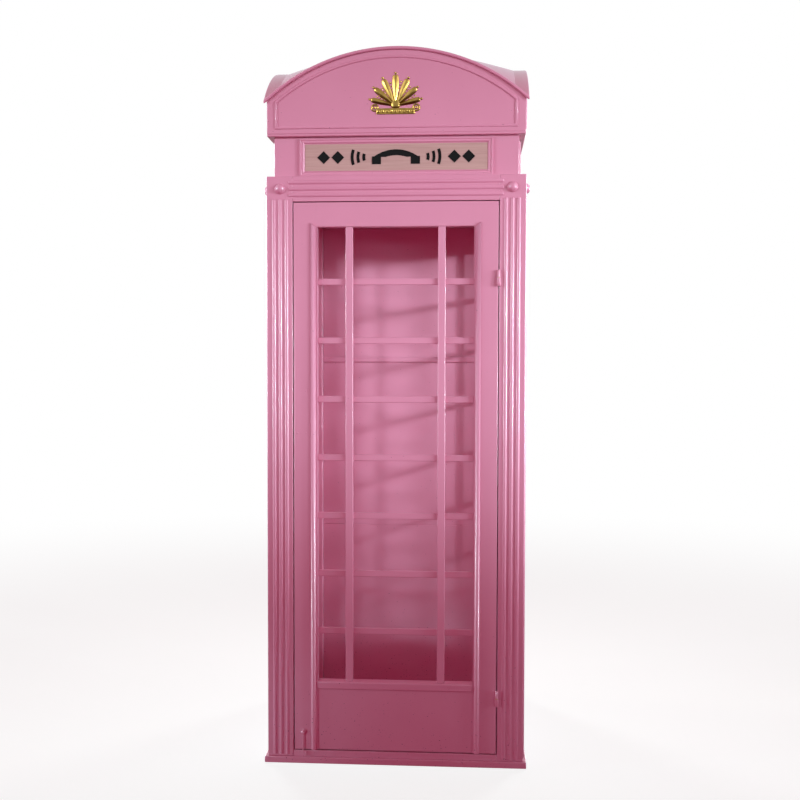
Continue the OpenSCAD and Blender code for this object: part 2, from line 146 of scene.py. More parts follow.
def pinkPaintMaterial():
    paint = pinkPaint
    material, shader, wire = newMaterial("pinkPaint", {
        "Coat Weight": paint["lacquer"], "Coat Roughness": paint["lacquerRoughness"]})
    place = placeOn(wire)
    patches = place.noise(paint["patchScale"], 3.0)
    peel = place.noise(paint["peelScale"], 1.0)
    height = wire.node("ShaderNodeSeparateXYZ", {}, {0: place}, "Z")
    low = height.share(paint["wornBelow"], 0.0)
    film = place.noise(paint["dustScale"], 5.0, 0.65)
    dusty = low * film.share(paint["dustFrom"], paint["dustTo"], paint["dustShare"])
    rarity = paint["chipRarity"] + paint["chipRarer"] - low * paint["chipRarer"]
    chipped = (place.noise(paint["chipScale"], 1.0) - rarity).share(0.0, paint["chipEdge"])
    colour = dusty.blend(patches.blend(paint["shade"], paint["colour"]), paint["dust"])
    feed(shader, "Base Color", chipped.blend(colour, paint["chip"]))
    feed(shader, "Roughness", patches * paint["roughnessSpread"] + dusty * paint["dustDulls"]
         + (paint["roughness"] - paint["roughnessSpread"] / 2))
    feed(shader, "Normal", wire.node("ShaderNodeBump", {}, {
        "Strength": paint["peelHeight"], "Distance": 0.001, "Height": peel}))
    return material


signFace = {
    "colour": linear(204, 168, 158),
    "streak": linear(172, 132, 126),
    "streakScale": (3.0, 3.0, 90.0),
    "roughness": 0.55,
}


def signFaceMaterial():
    material, shader, wire = newMaterial("signFace", {"Roughness": signFace["roughness"]})
    stretched = wire.node("ShaderNodeMapping", {}, {
        "Vector": placeOn(wire), "Scale": signFace["streakScale"]})
    streaks = stretched.noise(2.0, 4.0, 0.6)
    feed(shader, "Base Color", streaks.blend(signFace["streak"], signFace["colour"]))
    return material


gilt = {
    "colour": linear(206, 164, 88),
    "shade": linear(104, 74, 28),
    "tarnishScale": 60.0,
    "roughness": 0.28,
}


def giltMaterial():
    material, shader, wire = newMaterial("gilt", {"Metallic": 1.0, "Roughness": gilt["roughness"]})
    tarnish = placeOn(wire).noise(gilt["tarnishScale"], 3.0)
    feed(shader, "Base Color", tarnish.blend(gilt["shade"], gilt["colour"]))
    return material


finishes = {
    "pink_paint": pinkPaintMaterial(),
    "sign_face": signFaceMaterial(),
    "sign_ink": newMaterial("signInk", {
        "Base Color": linear(10, 7, 7), "Roughness": 0.6, "Specular IOR Level": 0.12})[0],
    "gilt": giltMaterial(),
    "pin_steel": newMaterial("pinSteel", {
        "Base Color": linear(150, 150, 152), "Metallic": 1.0, "Roughness": 0.35})[0],
    "washer_brass": newMaterial("washerBrass", {
        "Base Color": linear(190, 150, 80), "Metallic": 1.0, "Roughness": 0.35})[0],
}
slotOf = {part["node"]: part["material_slot"] for part in frame["record"]["subparts"]}
for nodeName, slotName in slotOf.items():
    nodeMaterials = frame["nodes"][nodeName].data.materials
    nodeMaterials.clear()
    nodeMaterials.append(finishes[slotName])
print("materials made:", len(finishes))

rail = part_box("side_top_rails")
bodyHalf = rail[1].x                        # middle of the booth to the faces of its posts
openHalf = rail[1].y                        # middle to the edge of a glazed opening
openTop, headerFoot = rail[0].z, rail[1].z
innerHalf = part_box("floor_plate")[1].x      # middle to the inner faces of the posts
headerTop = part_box("sign_boards")[0].z
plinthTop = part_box("plinth")[1].z
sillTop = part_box("door_sill")[1].z
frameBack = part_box("door_top_rail")[1].y    # plane of the backs of the stiles and rails
everySide = (0, 90, 180, 270)               # front, hinge side, back, latch side
smallEdge = 0.0012                          # rounding of a plain edge
wideEdge = 0.003                            # a wider rounding gets more steps
sunk = 0.0003                               # how far a half shape goes into what carries it
near = 0.0001                               # places nearer than this count as the same
mergeWithin = 0.000005                      # corners nearer than this become one


def pour(target, part):  # adds one shape to another
    passing = bpy.data.meshes.new("passing")
    part.to_mesh(passing)
    part.free()
    target.from_mesh(passing)
    bpy.data.meshes.remove(passing)


def smoothBy(bm, angle):  # rounds shade softly, corners sharper than the angle stay crisp
    for face in bm.faces:
        face.smooth = True
    for edge in bm.edges:
        edge.smooth = edge.is_manifold and edge.calc_face_angle(0) < math.radians(angle)
    return bm


def rounded(bm, corners, offset, segments, affect="EDGES"):  # rounds edges, or corners of an outline
    return bmesh.ops.bevel(bm, geom=corners, offset=offset, segments=segments, profile=0.5,
                           affect=affect, material=-1)


def turned(bm, angle, axis):  # turns a shape about the origin
    bmesh.ops.rotate(bm, verts=bm.verts, cent=(0, 0, 0),
                     matrix=Matrix.Rotation(math.radians(angle), 3, axis))
    return bm


def moved(bm, place, turn=None):  # turns a shape about the origin, then takes it to its place
    if turn:
        turned(bm, *turn)
    bmesh.ops.translate(bm, verts=bm.verts, vec=place)
    return bm


def flipped(bm, scale=(-1, 1, 1)):  # makes a shape its mirror image
    bmesh.ops.scale(bm, verts=bm.verts, vec=scale)
    bmesh.ops.reverse_faces(bm, faces=bm.faces)
    return bm


def mirroredX(build):  # a shape and its mirror image
    whole = build()
    pour(whole, flipped(build()))
    return whole


def onSides(angles, build):  # what stands on the front, turned to other sides
    whole = bmesh.new()
    for angle in angles:
        pour(whole, turned(build(), angle, "Z"))
    return whole


def picked(geometry, kind):  # only the corners, or only the edges, that an operator gives back
    return [g for g in geometry if isinstance(g, kind)]


def cutAway(bm, point, normal):  # cuts off what lies beyond a plane and closes the cut
    cut = bmesh.ops.bisect_plane(bm, geom=bm.verts[:] + bm.edges[:] + bm.faces[:], dist=0.0000001,
                                 plane_co=point, plane_no=normal, clear_outer=True)
    bmesh.ops.holes_fill(bm, edges=picked(cut["geom_cut"], bmesh.types.BMEdge), sides=0)


def block(low, high):  # block between two corners
    bm = bmesh.new()
    bmesh.ops.create_cube(bm, size=1)
    bmesh.ops.scale(bm, verts=bm.verts, vec=Vector(high) - Vector(low))
    return moved(bm, (Vector(low) + Vector(high)) / 2)


def softBlock(low, high, edge=smallEdge, rounds=2, only=None):  # block with rounded edges
    bm = block(low, high)
    edges = [e for e in bm.edges if only is None or only((e.verts[0].co + e.verts[1].co) / 2)]
    for face in rounded(bm, edges, edge, rounds)["faces"]:
        face.smooth = True
    return bm


def rod(radius, length, rimEdge=0.0, sides=24):  # upright rod on the origin
    bm = bmesh.new()
    bmesh.ops.create_cone(bm, cap_ends=True, segments=sides, radius1=radius, radius2=radius,
                          depth=length)
    bmesh.ops.translate(bm, verts=bm.verts, vec=(0, 0, length / 2))
    if rimEdge:
        rims = [e for e in bm.edges if abs(e.verts[0].co.z - e.verts[1].co.z) < length / 4]
        rounded(bm, rims, rimEdge, 4)
    return smoothBy(bm, 40)


def moulding(radius, proud, length, endEdge=0.0):  # upright half-round, its flat back on y = 0
    bm = moved(rod(radius, length, endEdge), (0, radius - proud, 0))
    cutAway(bm, (0, sunk, 0), (0, 1, 0))
    return bm


def spunFull(bm, steps):  # draws an outline round the Z axis into a closed shape
    bmesh.ops.spin(bm, geom=bm.verts[:] + bm.edges[:], cent=(0, 0, 0), axis=(0, 0, 1),
                   angle=math.tau, steps=steps, use_merge=True)


def ring(radius, wire, sides=32, around=12):  # closed ring of round wire about the Z axis
    bm = bmesh.new()
    bmesh.ops.create_circle(bm, segments=around, radius=wire)
    moved(bm, (radius, 0, 0), (90, "X"))
    spunFull(bm, sides)
    for face in bm.faces:
        face.smooth = True
    return bm


def lathed(outline):  # closed outline of radii and heights, turned about the Z axis
    bm = bmesh.new()
    verts = [bm.verts.new((x, 0, z)) for x, z in outline]
    for first, second in zip(verts, verts[1:] + verts[:1]):
        bm.edges.new((first, second))
    spunFull(bm, 28)
    bmesh.ops.remove_doubles(bm, verts=bm.verts, dist=mergeWithin)
    bmesh.ops.dissolve_degenerate(bm, edges=bm.edges, dist=mergeWithin)
    loose = [e for e in bm.edges if not e.link_faces]
    bmesh.ops.delete(bm, geom=loose, context="EDGES")
    return bm


def solidBoxes(node):  # lowest and highest corners of each solid in a CAD node
    bm = bmesh.new()
    bm.from_mesh(frame["nodes"][node].data)
    bmesh.ops.remove_doubles(bm, verts=bm.verts, dist=mergeWithin)
    bm.verts.index_update()
    seen = [False] * len(bm.verts)
    boxes = []
    for start in bm.verts:
        if seen[start.index]:
            continue
        group, waiting = [], [start]
        seen[start.index] = True
        while waiting:
            vert = waiting.pop()
            group.append(vert.co.copy())
            for edge in vert.link_edges:
                other = edge.other_vert(vert)
                if not seen[other.index]:
                    seen[other.index] = True
                    waiting.append(other)
        boxes.append([Vector(pick(c[i] for c in group) for i in range(3)) for pick in (min, max)])
    bm.free()
    return boxes


bodies = frame["record"]["behaviour"]["bodies"]
bodyOf = {member: body for body, members in bodies.items() for member in members}


def finishPiece(node, bm):  # makes a shape the visible piece for a CAD node, named after it
    words = node.split("_")
    name = words[0] + "".join(word.capitalize() for word in words[1:])
    bmesh.ops.recalc_face_normals(bm, faces=bm.faces)
    mesh = bpy.data.meshes.new(name)
    bm.to_mesh(mesh)
    bm.free()
    piece = bpy.data.objects.new(name, mesh)
    scene.collection.objects.link(piece)
    mesh.materials.append(finishes[slotOf[node]])
    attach(piece, bodyOf[node])
    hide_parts(node)


plainEdges = {  # how far each sheet's or bar's edges are rounded
    "plinth": 0.002,
    "floor_plate": 0.001,
    "door_sill": 0.0015,
    "ceiling_panel": 0.001,
    "side_top_rails": 0.0004,
    "side_bead_rails": 0.004,
    "side_kick_panels": 0.0008,
    "side_bottom_rails": 0.001,
    "side_uprights": 0.0018,
    "side_cross_bars": 0.0018,
    "back_lower_panel": 0.0015,
    "back_middle_panel": 0.0015,
    "back_upper_panel": 0.0015,
    "back_batten": 0.002,
    "door_side_stops": 0.001,
    "door_top_stop": 0.001,
    "sign_boards": 0.0015,
    "sign_side_boards": 0.0008,
    "sign_plates": 0.0006,
    "roof_soffit": 0.002,
    "door_top_rail": 0.0004,
    "door_kick_panel": 0.0008,
    "door_bottom_rail": 0.001,
    "door_bead_rail": 0.004,
    "door_uprights": 0.0018,
    "door_cross_bars": 0.0018,
}


def blocksFor(node, edge):  # rounded blocks in the places of a CAD node's plain ones
    whole = bmesh.new()
    for low, high in solidBoxes(node):
        pour(whole, softBlock(low, high, edge, 4 if edge > wideEdge else 2))
    finishPiece(node, whole)


for nodeName, plainEdge in plainEdges.items():
    blocksFor(nodeName, plainEdge)
print("sheets, rails and bars made:", len(plainEdges))


posts = {
    "edge": 0.0025,          # rounding of the square tube
    "reedRadius": 0.007,
    "reedProud": 0.004,
    "reedPitch": 0.0195,
    "reedCentre": 0.358,     # middle of the three reeds from the middle of the booth
    "reedFoot": 0.024,
    "reedHead": 1.764,
    "reedEnd": 0.004,        # rounding of a reed's ends
    "headerRun": 0.013,      # how far the header's reeds run onto the posts
    "ballRadius": 0.017,
    "ballProud": 0.014,
}
headerMiddle = (headerFoot + headerTop) / 2


def reed(length):
    return moulding(posts["reedRadius"], posts["reedProud"], length, posts["reedEnd"])


def postReeds():  # three reeds on the front face, beside the latch side's corner
    whole = bmesh.new()
    for i in (-1, 0, 1):
        x = -posts["reedCentre"] + i * posts["reedPitch"]
        upright = reed(posts["reedHead"] - posts["reedFoot"])
        pour(whole, moved(upright, (x, -bodyHalf, posts["reedFoot"])))
    return whole


def cornerPost():
    whole = softBlock((-bodyHalf, -bodyHalf, plinthTop), (-innerHalf, -innerHalf, headerTop),
                      posts["edge"], 3)
    pour(whole, postReeds())
    pour(whole, turned(flipped(postReeds()), -90, "Z"))
    return whole


def headerRail():
    whole = softBlock((-innerHalf, -bodyHalf, headerFoot), (innerHalf, -innerHalf, headerTop))
    reach = innerHalf + posts["headerRun"]
    for i in (-1, 0, 1):
        place = (-reach, -bodyHalf, headerMiddle + i * posts["reedPitch"])
        pour(whole, moved(reed(reach * 2), place, (90, "Y")))
    return whole


def ballBoss():
    bm = bmesh.new()
    bmesh.ops.create_uvsphere(bm, u_segments=40, v_segments=20, radius=posts["ballRadius"])
    depth = posts["ballRadius"] - posts["ballProud"] - bodyHalf
    moved(bm, (posts["reedCentre"], depth, headerMiddle), (90, "X"))
    cutAway(bm, (0, sunk - bodyHalf, 0), (0, 1, 0))
    return smoothBy(bm, 40)


def baseRail():
    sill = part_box("door_sill")
    return softBlock(sill[0], sill[1], plainEdges["door_sill"])


finishPiece("corner_posts", onSides(everySide, cornerPost))
finishPiece("header_rails", onSides(everySide, headerRail))
finishPiece("ball_bosses", onSides(everySide, lambda: mirroredX(ballBoss)))
finishPiece("base_rails", onSides(everySide[1:], baseRail))
print("posts, header and base made")


stiles = {
    "edge": 0.0015,
    "beadRadius": 0.008,
    "beadCentre": 0.255,
    "beadOver": 0.010,       # how far a bead's mitred head passes the opening
    "beadSpare": 0.004,      # length that the mitre takes off again
    "mitreDrop": 1.6,        # bead radii from the head down to the mitre's inner end
    "mitre": (-0.66, 0, 0.75),
}
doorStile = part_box("door_hinge_stile")


def stile(outer, foot, head):  # stile on the hinge side of an opening, its bead mitred at the top
    whole = softBlock((openHalf, -bodyHalf, foot), (outer, frameBack, head), stiles["edge"],
                      only=lambda middle: middle.x > openHalf + near)
    radius, centre = stiles["beadRadius"], stiles["beadCentre"]
    beadHead = openTop + stiles["beadOver"]
    bead = moulding(radius, radius, beadHead - foot + stiles["beadSpare"])
    moved(bead, (centre, -bodyHalf, foot))
    cutAway(bead, (centre - radius, 0, beadHead - radius * stiles["mitreDrop"]), stiles["mitre"])
    pour(whole, bead)
    return whole


def doorStileShape():
    return stile(doorStile[1].x, doorStile[0].z, doorStile[1].z)


def sideStileShape():
    return stile(innerHalf, sillTop, headerFoot)


finishPiece("door_hinge_stile", doorStileShape())
finishPiece("door_latch_stile", flipped(doorStileShape()))
finishPiece("side_stiles", onSides((90, 270), lambda: mirroredX(sideStileShape)))
print("stiles made")


signMoulding = {  # steps of the moulded frame, from its outer edge: width, then drop
    "proud": 0.008,
    "steps": ((0.0012, 0.0), (0.0025, 0.0), (0.0015, 0.0025), (0.0055, 0.0), (0.0045, 0.0045)),
    "edge": 0.00096,
}


def signFrame():
    low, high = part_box("sign_frames")
    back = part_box("sign_boards")[0].y
    face = back - signMoulding["proud"]
    bm = block((-high.y, face, low.z), (high.y, back, high.z))
    front = min(bm.faces, key=lambda f: f.calc_center_median().y)
    for width, drop in signMoulding["steps"]:
        bmesh.ops.inset_region(bm, faces=[front], thickness=width, depth=-drop, use_even_offset=True)

    def onRim(vert):
        beside = min(abs(abs(vert.co.x) - high.y), abs(vert.co.z - low.z), abs(vert.co.z - high.z))
        return abs(vert.co.y - face) < near and beside < near

    rim = [e for e in bm.edges if all(onRim(v) for v in e.verts)]
    rounded(bm, rim, signMoulding["edge"], 3)
    return smoothBy(bm, 35)


finishPiece("sign_frames", onSides((0, 90, 270), signFrame))
print("sign frames made")


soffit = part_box("roof_soffit")
roof = {
    "half": 0.407,           # middle to the roof's edge
    "thick": 0.009,
    "frontThick": 0.032,
    "frontEdge": 0.0015,     # rounding of an arched front
    "flatOver": 0.01,        # square metres past which a face of it shades flat
    "eave": 0.111,           # soffit plate's underside to the roof's corners
    "rise": 0.157,
    "slack": 0.7,            # share of the crossed arches' height that the dome gives up
    "steps": 96,
    "squares": 48,           # of the dome, each way
    "edge": 0.003,
    "spare": 0.06,           # radians of arch past each corner, which the mitres take off again
}
frontHalf = soffit[1].x
rimHalf = frontHalf - roof["frontThick"]
archRadius = (roof["half"] ** 2 + roof["rise"] ** 2) / (2 * roof["rise"])
archCentre = soffit[0].z + roof["eave"] + roof["rise"] - archRadius


def archOutline(half, foot, radius):  # face in the plane y = 0: straight foot and sides under an arch
    bm = bmesh.new()
    reach = math.asin(half / radius)
    start = bm.verts.new((-half, 0, archCentre + radius * math.cos(reach)))
    bmesh.ops.spin(bm, geom=[start], cent=(0, 0, archCentre), axis=(0, 1, 0),
                   angle=2 * reach, steps=roof["steps"])
    bm.verts.ensure_lookup_table()
    ends = [min(bm.verts, key=lambda v: v.co.x), max(bm.verts, key=lambda v: v.co.x)]
    feet = [bm.verts.new((v.co.x, 0, foot)) for v in ends]
    for first, second in ((ends[0], feet[0]), (feet[0], feet[1]), (feet[1], ends[1])):
        bm.edges.new((first, second))
    bmesh.ops.contextual_create(bm, geom=bm.edges[:])
    return bm


def thickened(bm, thick):  # draws an outline out towards the front and gives back its front edges
    made = bmesh.ops.extrude_face_region(bm, geom=bm.faces[:])
    bmesh.ops.translate(bm, verts=picked(made["geom"], bmesh.types.BMVert), vec=(0, -thick, 0))
    bmesh.ops.recalc_face_normals(bm, faces=bm.faces)
    return [e for e in bm.edges if all(v.co.y < -thick / 2 for v in e.verts)]


def archedFront(half):
    bm = archOutline(half, soffit[1].z, archRadius - roof["thick"])
    rounded(bm, thickened(bm, roof["frontThick"]), roof["frontEdge"], 3)
    smoothBy(moved(bm, (0, roof["frontThick"] - frontHalf, 0)), 35)
    for face in bm.faces:
        if face.calc_area() > roof["flatOver"]:
            face.smooth = False
    return bm


trim = {"wide": 0.008, "proud": 0.004, "edge": 0.0028, "side": 0.025, "foot": 0.022, "arch": 0.017}


def frontTrim():  # raised bead that follows the arched front's outline
    bm = archOutline(frontHalf - trim["side"], soffit[0].z + trim["foot"],
                     archRadius - roof["thick"] - trim["arch"])
    bead = bmesh.ops.inset_region(bm, faces=bm.faces[:], thickness=trim["wide"],
                                  use_even_offset=True, use_boundary=True)["faces"]
    bmesh.ops.delete(bm, geom=[f for f in bm.faces if f not in bead], context="FACES")
    rims = [e for e in thickened(bm, trim["proud"]) if e.calc_face_angle(0) > 1]
    rounded(bm, rims, trim["edge"], 4)
    return smoothBy(moved(bm, (0, -frontHalf, 0)), 50)


def roofEdge():  # arched strip that caps a front, mitred to its neighbours
    bm = bmesh.new()
    bmesh.ops.create_grid(bm, x_segments=1, y_segments=1, size=0.5)
    bmesh.ops.scale(bm, verts=bm.verts, vec=(roof["thick"], roof["half"] - rimHalf, 1))
    turned(bm, 90, "Y")
    lip = [v for v in bm.verts if v.co.y < 0]
    rounded(bm, lip, roof["edge"], 4, "VERTICES")
    crown = archCentre + archRadius - roof["thick"] / 2
    moved(bm, (0, -(roof["half"] + rimHalf) / 2, crown))
    reach = math.asin(roof["half"] / archRadius) + roof["spare"]
    bmesh.ops.rotate(bm, verts=bm.verts, cent=(0, 0, archCentre), matrix=Matrix.Rotation(-reach, 3, "Y"))
    bmesh.ops.spin(bm, geom=bm.faces[:], cent=(0, 0, archCentre), axis=(0, 1, 0),
                   angle=2 * reach, steps=roof["steps"])
    bmesh.ops.recalc_face_normals(bm, faces=bm.faces)
    for side in (1, -1):
        cutAway(bm, (0, 0, 0), (side, 1, 0))
    return smoothBy(bm, 35)


def roofDome():
    bm = bmesh.new()
    bmesh.ops.create_grid(bm, x_segments=roof["squares"], y_segments=roof["squares"], size=rimHalf)
    rimRise = math.sqrt(archRadius ** 2 - rimHalf ** 2)

    def level(x):  # height of the arch over the rim's corners
        return math.sqrt(archRadius ** 2 - x * x) - rimRise

    for vert in bm.verts:
        along, across = level(vert.co.x), level(vert.co.y)
        slack = roof["slack"] * along * across / level(0)
        vert.co.z = archCentre + rimRise + along + across - slack
    bmesh.ops.solidify(bm, geom=bm.faces[:], thickness=roof["thick"])
    return smoothBy(bm, 35)


finishPiece("arched_fronts", onSides((0, 180), lambda: archedFront(frontHalf)))
finishPiece("arched_sides", onSides((90, 270), lambda: archedFront(rimHalf)))
finishPiece("front_trims", onSides(everySide, frontTrim))
finishPiece("roof_edges", onSides((0, 180), roofEdge))
finishPiece("roof_side_edges", onSides((90, 270), roofEdge))
finishPiece("roof_dome", roofDome())
print("roof made")


hinges = {
    "half": 0.025,           # half a hinge's length
    "middle": 0.001,         # pin's middle up to the hinge's
    "lowRadius": 0.006,
    "highRadius": 0.0046,
    "gap": 0.0011,           # between the knuckles, where the washer lies
    "round": 0.0022,         # a knuckle's closed end
    "rim": 0.0004,           # its open end
    "bore": 0.00305,
    "boreDepth": 0.0191,
    "leafWide": 0.012,
    "leafTall": 0.018,
    "leafThick": 0.002,
    "leafFrom": 0.0034,      # axis to where a leaf comes out of its knuckle
    "leafInset": 0.0005,     # a leaf's end inside its knuckle's
    "leafEdge": 0.0006,
    "washerRadius": 0.0055,
    "washerFoot": 0.0001,
    "washerTop": 0.001,
    "washerEdge": 0.0003,
    "pinRadius": 0.003,
    "pinHalf": 0.018,
    "pinEdge": 0.0005,
}


def knuckle(radius, side, foot):  # lathed knuckle that stands on a hinge's middle, with its leaf
    bore, head, curve, rim = hinges["bore"], hinges["half"], hinges["round"], hinges["rim"]
    corner = curve * 0.35    # how far in the middle of the rounding lies
    bm = lathed([(bore, foot), (radius - rim, foot), (radius, foot + rim), (radius, head - curve),
                 (radius - corner, head - corner), (radius - curve, head), (0, head),
                 (0, hinges["boreDepth"]), (bore, hinges["boreDepth"])])
    smoothBy(bm, 40)
    ends = sorted((side * hinges["leafFrom"], side * hinges["leafWide"]))
    face = hinges["lowRadius"]
    pour(bm, softBlock((ends[0], face - hinges["leafThick"], head - hinges["leafTall"]),
                       (ends[1], face, head - hinges["leafInset"]), hinges["leafEdge"]))
    return bm


def hingeWasher():
    bore, radius, edge = hinges["bore"], hinges["washerRadius"], hinges["washerEdge"]
    foot, top = hinges["washerFoot"], hinges["washerTop"]
    return smoothBy(lathed([(bore, foot), (radius - edge, foot), (radius, foot + edge),
                            (radius, top - edge), (radius - edge, top), (bore, top)]), 35)


def makeHinges():
    lower, upper, washers, pins = bmesh.new(), bmesh.new(), bmesh.new(), bmesh.new()
    for low, high in solidBoxes("hinge_pins"):
        pinMiddle = (low + high) / 2
        middle = pinMiddle + Vector((0, 0, hinges["middle"]))
        pour(lower, moved(flipped(knuckle(hinges["lowRadius"], 1, 0), (1, 1, -1)), middle))
        pour(upper, moved(knuckle(hinges["highRadius"], -1, hinges["gap"]), middle))
        pour(washers, moved(hingeWasher(), middle))
        pin = rod(hinges["pinRadius"], hinges["pinHalf"] * 2, hinges["pinEdge"])
        pour(pins, moved(pin, pinMiddle - Vector((0, 0, hinges["pinHalf"]))))
    finishPiece("hinge_lower_knuckles", lower)
    finishPiece("hinge_upper_knuckles", upper)
    finishPiece("hinge_washers", washers)
    finishPiece("hinge_pins", pins)


screws = {"stileRadius": 0.003, "plinthRadius": 0.0025, "rise": 0.42}


def screwsFor(node, radius):  # domed heads
    whole = bmesh.new()
    for low, high in solidBoxes(node):
        middle = (low + high) / 2
        head = bmesh.new()
        bmesh.ops.create_uvsphere(head, u_segments=20, v_segments=12, radius=radius)
        bmesh.ops.scale(head, verts=head.verts, vec=(1, 1, screws["rise"]))
        cutAway(head, (0, 0, 0), (0, 0, -1))
        smoothBy(head, 40)
        pour(whole, moved(head, (middle.x, high.y, middle.z), (90, "X")))
    finishPiece(node, whole)


makeHinges()
screwsFor("stile_screws", screws["stileRadius"])
screwsFor("plinth_screws", screws["plinthRadius"])
print("hinges and screws made")


latch = {
    "roseRadius": 0.010,
    "roseThick": 0.002,
    "roseEdge": 0.0008,
    "studRadius": 0.002,
    "studLength": 0.010,
    "headRadius": 0.004,     # of the stud's head and of the shoulder behind the hook
    "headThick": 0.0025,
    "headEdge": 0.0011,
    "shoulderEdge": 0.0006,  # at most 0.3 of the shoulder's length
    "play": 0.00015,         # hook to head and to shoulder
    "wire": 0.0017,
    "eyeRadius": 0.0039,
    "length": 0.067,
    "shankFrom": 0.0045,     # stud's axis down to where the shank starts
    "lean": -0.0006,
    "tip": 0.007,
    "bend": 0.003,
    "sillEye": 0.005,
    "sillWire": 0.00125,
    "sillStem": 0.0035,
    "sillEdge": 0.0008,
}


def latchPivot(axis, hookY):  # rose, shoulder, stud and head on the door's face
    cover = latch["wire"] + latch["play"]
    shoulder = -bodyHalf - hookY - cover
    shoulderEdge = min(latch["shoulderEdge"], shoulder * 0.3)
    whole = bmesh.new()
    for radius, length, edge, sides, y in (
            (latch["roseRadius"], latch["roseThick"], latch["roseEdge"], 32, -bodyHalf),
            (latch["headRadius"], shoulder, shoulderEdge, 24, -bodyHalf),
            (latch["studRadius"], latch["studLength"], 0, 24, -bodyHalf),
            (latch["headRadius"], latch["headThick"], latch["headEdge"], 24, hookY - cover)):
        pour(whole, moved(rod(radius, length, edge, sides), (axis.x, y, axis.z), (90, "X")))
    return whole


def drawnOut(bm, edges, run):  # draws an open rim out along a run and gives back its new rim
    made = bmesh.ops.extrude_edge_only(bm, edges=edges)
    verts = picked(made["geom"], bmesh.types.BMVert)
    bmesh.ops.translate(bm, verts=verts, vec=run)
    return verts + [e for e in bm.edges if all(v in verts for v in e.verts)]


def latchHook(centre):  # eye and a straight shank, then the tip that goes through the sill's eye
    whole = moved(ring(latch["eyeRadius"], latch["wire"]), centre, (90, "X"))
    shank = latch["length"] - latch["shankFrom"]
    bend = latch["bend"]
    foot = centre + Vector((latch["lean"], 0, -latch["length"]))
    wire = bmesh.new()
    bmesh.ops.create_circle(wire, segments=16, radius=latch["wire"])
    moved(wire, foot + Vector((0, 0, shank)))
    end = drawnOut(wire, wire.edges[:], (0, 0, bend - shank))
    corner = bmesh.ops.spin(wire, geom=end, cent=foot + Vector((bend, 0, bend)), axis=(0, 1, 0),
                            angle=-math.pi / 2, steps=8)
    drawnOut(wire, picked(corner["geom_last"], bmesh.types.BMEdge), (latch["tip"] - bend, 0, 0))
    bmesh.ops.holes_fill(wire, edges=[e for e in wire.edges if e.is_boundary], sides=0)
    pour(whole, smoothBy(wire, 50))
    return whole


def latchSillEye(hookY):
    low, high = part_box("latch_sill_eye")
    middle = Vector(((low.x + high.x) / 2, hookY, (low.z + high.z) / 2))
    whole = moved(ring(latch["sillEye"], latch["sillWire"]), middle, (90, "Y"))
    stem = rod(latch["sillStem"], high.y - hookY - latch["sillEye"], latch["sillEdge"])
    pour(whole, moved(stem, (middle.x, high.y, middle.z), (90, "X")))
    return whole


def makeLatch():
    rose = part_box("latch_pivot")
    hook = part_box("latch_hook")
    axis = (rose[0] + rose[1]) / 2
    hookY = (hook[0].y + hook[1].y) / 2
    finishPiece("latch_pivot", latchPivot(axis, hookY))
    finishPiece("latch_hook", latchHook(Vector((axis.x, hookY, axis.z))))
    finishPiece("latch_sill_eye", latchSillEye(hookY))


makeLatch()
print("hook latch made")


emblem = {
    "growth": 1.145,         # the sizes below are drawn small, then grow by this
    "sunk": 0.0002,          # how far it goes into the arched front
    "leaves": 7,
    "fan": 25,               # degrees between neighbouring leaves
    "reach": 0.0913,         # centre of the fan to the middle leaf's end, its seed included
    "shorter": 0.005,        # how much shorter each next leaf is
    "leafFoot": 0.003,       # centre of the fan to a leaf's foot
    "leafShort": 0.011,      # a leaf's length below its reach
    "leafWide": 0.0118,      # half its width, and the share of that at its foot
    "leafFootWide": 0.34,
    "leafSideDrop": 0.45,    # share of the relief that a leaf loses from its keel to its sides
    "narrower": 0.0006,      # how much narrower each next leaf is
    "relief": 0.0055,
    "tipRadius": 0.0032,
    "tipBelow": 0.0045,      # a leaf's reach down to its seed's middle
    "gapSeeds": 3,           # in each gap between leaves, each smaller than the one outside it
    "seedRadius": 0.0026,
    "seedLess": 0.0004,
    "seedReach": 0.72,       # share of the reach at which the outermost lies
    "seedPitch": 0.009,
    "hub": 0.022,            # band's foot to the centre of the fan
    "hubRadius": 0.0135,
    "hubUp": 0.004,
    "hubSquash": 0.42,
    "bandHalf": 0.0515,
    "bandTall": 0.016,
    "bandRelief": 0.0034,
    "bandEdge": 0.0014,
    "beads": 9,
    "beadRadius": 0.0042,
    "beadSquash": 0.6,
    "beadInset": 0.006,      # band's end to the last bead's middle
    "scrollRadius": 0.0085,
    "scrollWire": 0.0024,
    "scrollOut": 0.004,      # band's end to a scroll's middle
    "scrollUp": 0.0015,
}


def pearl(radius, x, z, squash=1.0):  # half bead that sits on the front plane
    bm = bmesh.new()
    bmesh.ops.create_uvsphere(bm, u_segments=14, v_segments=8, radius=radius)
    bmesh.ops.scale(bm, verts=bm.verts, vec=(1, squash, 1))
    cutAway(bm, (0, emblem["sunk"], 0), (0, 1, 0))
    return moved(smoothBy(bm, 50), (x, 0, z))


